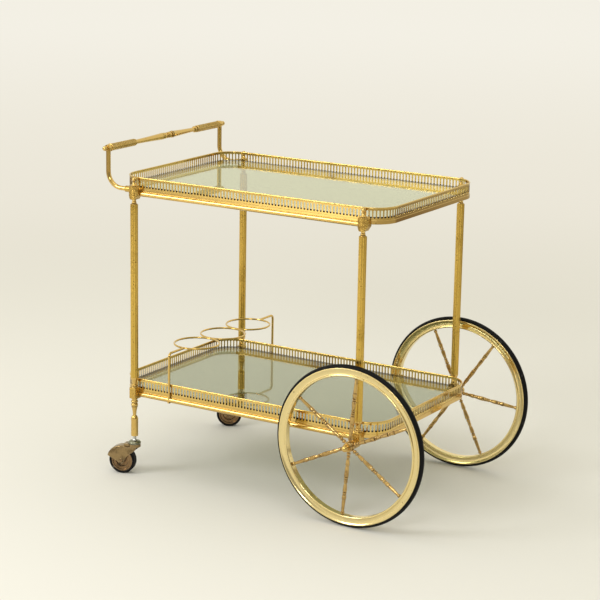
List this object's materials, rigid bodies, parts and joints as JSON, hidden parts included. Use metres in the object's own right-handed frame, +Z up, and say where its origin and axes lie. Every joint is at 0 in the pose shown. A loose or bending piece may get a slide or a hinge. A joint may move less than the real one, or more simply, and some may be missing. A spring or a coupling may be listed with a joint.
{
  "type": "bar cart",
  "caption": "Brass bar cart with glass trays in slotted galleries, large spoked wheels, swivel casters, a turned push handle and a wire bottle holder.",
  "frame": {"origin": "on the floor, under the middle of the whole cart", "axes": "+Z up, +X from the handle end to the wheel end, +Y to the left of the person who pushes"},
  "size_m": [0.7444, 0.4908, 0.6709],
  "materials": {
    "polished": "polished and lacquered",
    "fluted": "satin, a little spotted",
    "cast": "cast and brushed",
    "knurled": "knurled, dull",
    "aged": "tarnished",
    "rim": "pale satin",
    "black_rubber": "matt",
    "smoked_glass": "polished, grey-green",
    "steel": "zinc plated"
  },
  "bodies": {
    "frame": {"upper_moulding": "polished", "lower_moulding": "polished", "upper_gallery": "polished", "lower_gallery": "polished", "post_necks": "polished", "post_collars": "polished", "finials": "polished", "handle_knobs": "polished", "handle_bar": "polished", "handle_arm_right": "polished", "handle_arm_left": "polished", "axle_caps": "polished", "foot_right": "polished", "foot_left": "polished", "holder_wire_right": "polished", "holder_wire_left": "polished", "holder_ring_right": "polished", "holder_ring_middle": "polished", "holder_ring_left": "polished", "holder_nuts": "polished", "post_handle_right": "fluted", "post_handle_left": "fluted", "post_wheel_right": "fluted", "post_wheel_left": "fluted", "upper_bracket_handle_right": "cast", "upper_bracket_handle_left": "cast", "upper_bracket_wheel_right": "cast", "upper_bracket_wheel_left": "cast", "lower_bracket_handle_right": "cast", "lower_bracket_handle_left": "cast", "lower_bracket_wheel_right": "cast", "lower_bracket_wheel_left": "cast", "handle_grip_right": "knurled", "handle_grip_left": "knurled", "caster_cups": "aged", "bracket_screws": "aged", "upper_glass": "smoked_glass", "lower_glass": "smoked_glass", "tie_rods": "steel", "axle": "steel", "handle_rod": "steel", "axle_washers": "steel", "caster_stems": "steel"},
    "wheel_right": {"wheel_right_hub": "aged", "wheel_right_spokes": "aged", "wheel_right_rim": "rim", "wheel_right_tyre": "black_rubber"},
    "wheel_left": {"wheel_left_hub": "aged", "wheel_left_spokes": "aged", "wheel_left_rim": "rim", "wheel_left_tyre": "black_rubber"},
    "caster_right": {"caster_right_fork": "aged", "caster_right_pin": "steel"},
    "caster_left": {"caster_left_fork": "aged", "caster_left_pin": "steel"},
    "caster_right_wheel": {"caster_right_disc": "aged", "caster_right_tyre": "black_rubber"},
    "caster_left_wheel": {"caster_left_disc": "aged", "caster_left_tyre": "black_rubber"}
  },
  "joints": [
    {"name": "wheel_right_spin", "type": "hinge", "parent": "frame", "child": "wheel_right", "pos_m": [0.2137, -0.222, 0.1585], "axis": [0, 1, 0], "continuous": true},
    {"name": "wheel_left_spin", "type": "hinge", "parent": "frame", "child": "wheel_left", "pos_m": [0.2137, 0.222, 0.1585], "axis": [0, 1, 0], "continuous": true},
    {"name": "caster_right_swivel", "type": "hinge", "parent": "frame", "child": "caster_right", "pos_m": [-0.3018, -0.197, 0.0576], "axis": [0, 0, 1], "continuous": true},
    {"name": "caster_right_roll", "type": "hinge", "parent": "caster_right", "child": "caster_right_wheel", "pos_m": [-0.32633, -0.20357, 0.0273], "axis": [-0.2588, 0.9659, 0], "continuous": true},
    {"name": "caster_left_swivel", "type": "hinge", "parent": "frame", "child": "caster_left", "pos_m": [-0.3018, 0.197, 0.0576], "axis": [0, 0, 1], "continuous": true},
    {"name": "caster_left_roll", "type": "hinge", "parent": "caster_left", "child": "caster_left_wheel", "pos_m": [-0.32443, 0.18547, 0.0273], "axis": [-0.454, 0.891, 0], "continuous": true}
  ]
}
